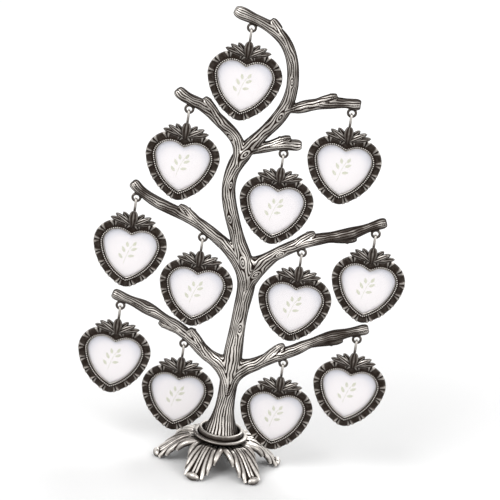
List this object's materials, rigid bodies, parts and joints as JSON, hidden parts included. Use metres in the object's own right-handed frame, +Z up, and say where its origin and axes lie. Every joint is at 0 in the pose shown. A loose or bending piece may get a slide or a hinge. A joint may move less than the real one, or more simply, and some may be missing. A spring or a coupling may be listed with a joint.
{
  "type": "photo tree stand",
  "caption": "Cast tabletop tree on a saucer with leaf feet, hung with heart-shaped photo frames on wire links that sway and nod; each frame has a window and a push-in back.",
  "frame": {"origin": "on the table under the trunk, at the middle of the base", "axes": "+Z up along the trunk, -Y towards the viewer, which is the side the hearts face, +X to the viewer's right"},
  "size_m": [0.2375, 0.0958, 0.3601],
  "materials": {
    "cast_tree": "antique pewter cast zinc alloy, dark in the grooves and rubbed bright on the ridges",
    "screw_steel": "plated steel screw",
    "link_wire": "bright plated wire",
    "cast_frame": "antique pewter cast zinc alloy with pleated rim and beaded border",
    "clear_window": "clear",
    "card_back": "white insert card in front of a dark pressed back"
  },
  "bodies": {
    "stand": {"trunk": "cast_tree", "leader": "cast_tree", "branch_upper_left": "cast_tree", "branch_upper_right": "cast_tree", "branch_mid_right": "cast_tree", "branch_left_mid": "cast_tree", "branch_right_mid": "cast_tree", "branch_left_low": "cast_tree", "branch_right_low": "cast_tree", "base_dish": "cast_tree", "leaf_feet": "cast_tree", "trunk_screw": "screw_steel"},
    "link_01_body": {"link_01": "link_wire"},
    "heart_01": {"heart_frame_01": "cast_frame", "window_01": "clear_window"},
    "back_01": {"photo_back_01": "card_back"},
    "link_02_body": {"link_02": "link_wire"},
    "heart_02": {"heart_frame_02": "cast_frame", "window_02": "clear_window"},
    "back_02": {"photo_back_02": "card_back"},
    "link_03_body": {"link_03": "link_wire"},
    "heart_03": {"heart_frame_03": "cast_frame", "window_03": "clear_window"},
    "back_03": {"photo_back_03": "card_back"},
    "link_04_body": {"link_04": "link_wire"},
    "heart_04": {"heart_frame_04": "cast_frame", "window_04": "clear_window"},
    "back_04": {"photo_back_04": "card_back"},
    "link_05_body": {"link_05": "link_wire"},
    "heart_05": {"heart_frame_05": "cast_frame", "window_05": "clear_window"},
    "back_05": {"photo_back_05": "card_back"},
    "link_06_body": {"link_06": "link_wire"},
    "heart_06": {"heart_frame_06": "cast_frame", "window_06": "clear_window"},
    "back_06": {"photo_back_06": "card_back"},
    "link_07_body": {"link_07": "link_wire"},
    "heart_07": {"heart_frame_07": "cast_frame", "window_07": "clear_window"},
    "back_07": {"photo_back_07": "card_back"},
    "link_08_body": {"link_08": "link_wire"},
    "heart_08": {"heart_frame_08": "cast_frame", "window_08": "clear_window"},
    "back_08": {"photo_back_08": "card_back"},
    "link_09_body": {"link_09": "link_wire"},
    "heart_09": {"heart_frame_09": "cast_frame", "window_09": "clear_window"},
    "back_09": {"photo_back_09": "card_back"},
    "link_10_body": {"link_10": "link_wire"},
    "heart_10": {"heart_frame_10": "cast_frame", "window_10": "clear_window"},
    "back_10": {"photo_back_10": "card_back"},
    "link_11_body": {"link_11": "link_wire"},
    "heart_11": {"heart_frame_11": "cast_frame", "window_11": "clear_window"},
    "back_11": {"photo_back_11": "card_back"},
    "link_12_body": {"link_12": "link_wire"},
    "heart_12": {"heart_frame_12": "cast_frame", "window_12": "clear_window"},
    "back_12": {"photo_back_12": "card_back"}
  },
  "joints": [
    {"name": "sway_01", "type": "hinge", "parent": "stand", "child": "link_01_body", "pos_m": [-0.0209, 0, 0.34438], "axis": [0, 1, 0], "range_deg": [-3, 1.5]},
    {"name": "nod_01", "type": "hinge", "parent": "link_01_body", "child": "heart_01", "pos_m": [-0.0209, 0, 0.33213], "axis": [1, 0, 0], "range_deg": [-15, 40]},
    {"name": "back_01_slide", "type": "slide", "parent": "heart_01", "child": "back_01", "axis": [0, 1, 0], "range_m": [0, 0.012]},
    {"name": "sway_02", "type": "hinge", "parent": "stand", "child": "link_02_body", "pos_m": [-0.058, 0, 0.27572], "axis": [0, 1, 0], "range_deg": [-7, 9]},
    {"name": "nod_02", "type": "hinge", "parent": "link_02_body", "child": "heart_02", "pos_m": [-0.058, 0, 0.26347], "axis": [1, 0, 0], "range_deg": [-15, 40]},
    {"name": "back_02_slide", "type": "slide", "parent": "heart_02", "child": "back_02", "axis": [0, 1, 0], "range_m": [0, 0.012]},
    {"name": "sway_03", "type": "hinge", "parent": "stand", "child": "link_03_body", "pos_m": [0.0611, 0, 0.29115], "axis": [0, 1, 0], "range_deg": [-15, 3]},
    {"name": "nod_03", "type": "hinge", "parent": "link_03_body", "child": "heart_03", "pos_m": [0.0611, 0, 0.2789], "axis": [1, 0, 0], "range_deg": [-15, 40]},
    {"name": "back_03_slide", "type": "slide", "parent": "heart_03", "child": "back_03", "axis": [0, 1, 0], "range_m": [0, 0.012]},
    {"name": "sway_04", "type": "hinge", "parent": "stand", "child": "link_04_body", "pos_m": [0.0158, 0, 0.2522], "axis": [0, 1, 0], "range_deg": [-3, 2]},
    {"name": "nod_04", "type": "hinge", "parent": "link_04_body", "child": "heart_04", "pos_m": [0.0158, 0, 0.23995], "axis": [1, 0, 0], "range_deg": [-15, 40]},
    {"name": "back_04_slide", "type": "slide", "parent": "heart_04", "child": "back_04", "axis": [0, 1, 0], "range_m": [0, 0.012]},
    {"name": "sway_05", "type": "hinge", "parent": "stand", "child": "link_05_body", "pos_m": [-0.088, 0, 0.20114], "axis": [0, 1, 0], "range_deg": [-3.5, 15]},
    {"name": "nod_05", "type": "hinge", "parent": "link_05_body", "child": "heart_05", "pos_m": [-0.088, 0, 0.18889], "axis": [1, 0, 0], "range_deg": [-15, 40]},
    {"name": "back_05_slide", "type": "slide", "parent": "heart_05", "child": "back_05", "axis": [0, 1, 0], "range_m": [0, 0.012]},
    {"name": "sway_06", "type": "hinge", "parent": "stand", "child": "link_06_body", "pos_m": [-0.0346, 0, 0.17758], "axis": [0, 1, 0], "range_deg": [-3, 3]},
    {"name": "nod_06", "type": "hinge", "parent": "link_06_body", "child": "heart_06", "pos_m": [-0.0346, 0, 0.16533], "axis": [1, 0, 0], "range_deg": [-15, 40]},
    {"name": "back_06_slide", "type": "slide", "parent": "heart_06", "child": "back_06", "axis": [0, 1, 0], "range_m": [0, 0.012]},
    {"name": "sway_07", "type": "hinge", "parent": "stand", "child": "link_07_body", "pos_m": [0.0929, 0, 0.20046], "axis": [0, 1, 0], "range_deg": [-2.5, 1.5]},
    {"name": "nod_07", "type": "hinge", "parent": "link_07_body", "child": "heart_07", "pos_m": [0.0929, 0, 0.18821], "axis": [1, 0, 0], "range_deg": [-15, 40]},
    {"name": "back_07_slide", "type": "slide", "parent": "heart_07", "child": "back_07", "axis": [0, 1, 0], "range_m": [0, 0.012]},
    {"name": "sway_08", "type": "hinge", "parent": "stand", "child": "link_08_body", "pos_m": [0.0405, 0, 0.17711], "axis": [0, 1, 0], "range_deg": [-1, 3.5]},
    {"name": "nod_08", "type": "hinge", "parent": "link_08_body", "child": "heart_08", "pos_m": [0.0405, 0, 0.16486], "axis": [1, 0, 0], "range_deg": [-15, 40]},
    {"name": "back_08_slide", "type": "slide", "parent": "heart_08", "child": "back_08", "axis": [0, 1, 0], "range_m": [0, 0.012]},
    {"name": "sway_09", "type": "hinge", "parent": "stand", "child": "link_09_body", "pos_m": [-0.089, 0, 0.11376], "axis": [0, 1, 0], "range_deg": [-9, 15]},
    {"name": "nod_09", "type": "hinge", "parent": "link_09_body", "child": "heart_09", "pos_m": [-0.089, 0, 0.10151], "axis": [1, 0, 0], "range_deg": [-15, 40]},
    {"name": "back_09_slide", "type": "slide", "parent": "heart_09", "child": "back_09", "axis": [0, 1, 0], "range_m": [0, 0.012]},
    {"name": "sway_10", "type": "hinge", "parent": "stand", "child": "link_10_body", "pos_m": [-0.0374, 0.007, 0.08775], "axis": [0, 1, 0], "range_deg": [-2.5, 8]},
    {"name": "nod_10", "type": "hinge", "parent": "link_10_body", "child": "heart_10", "pos_m": [-0.0374, 0.007, 0.0755], "axis": [1, 0, 0], "range_deg": [-15, 40]},
    {"name": "back_10_slide", "type": "slide", "parent": "heart_10", "child": "back_10", "axis": [0, 1, 0], "range_m": [0, 0.012]},
    {"name": "sway_11", "type": "hinge", "parent": "stand", "child": "link_11_body", "pos_m": [0.0393, -0.004, 0.08837], "axis": [0, 1, 0], "range_deg": [-7, 6]},
    {"name": "nod_11", "type": "hinge", "parent": "link_11_body", "child": "heart_11", "pos_m": [0.0393, -0.004, 0.07612], "axis": [1, 0, 0], "range_deg": [-15, 40]},
    {"name": "back_11_slide", "type": "slide", "parent": "heart_11", "child": "back_11", "axis": [0, 1, 0], "range_m": [0, 0.012]},
    {"name": "sway_12", "type": "hinge", "parent": "stand", "child": "link_12_body", "pos_m": [0.0916, 0, 0.11472], "axis": [0, 1, 0], "range_deg": [-15, 8]},
    {"name": "nod_12", "type": "hinge", "parent": "link_12_body", "child": "heart_12", "pos_m": [0.0916, 0, 0.10247], "axis": [1, 0, 0], "range_deg": [-15, 40]},
    {"name": "back_12_slide", "type": "slide", "parent": "heart_12", "child": "back_12", "axis": [0, 1, 0], "range_m": [0, 0.012]}
  ]
}
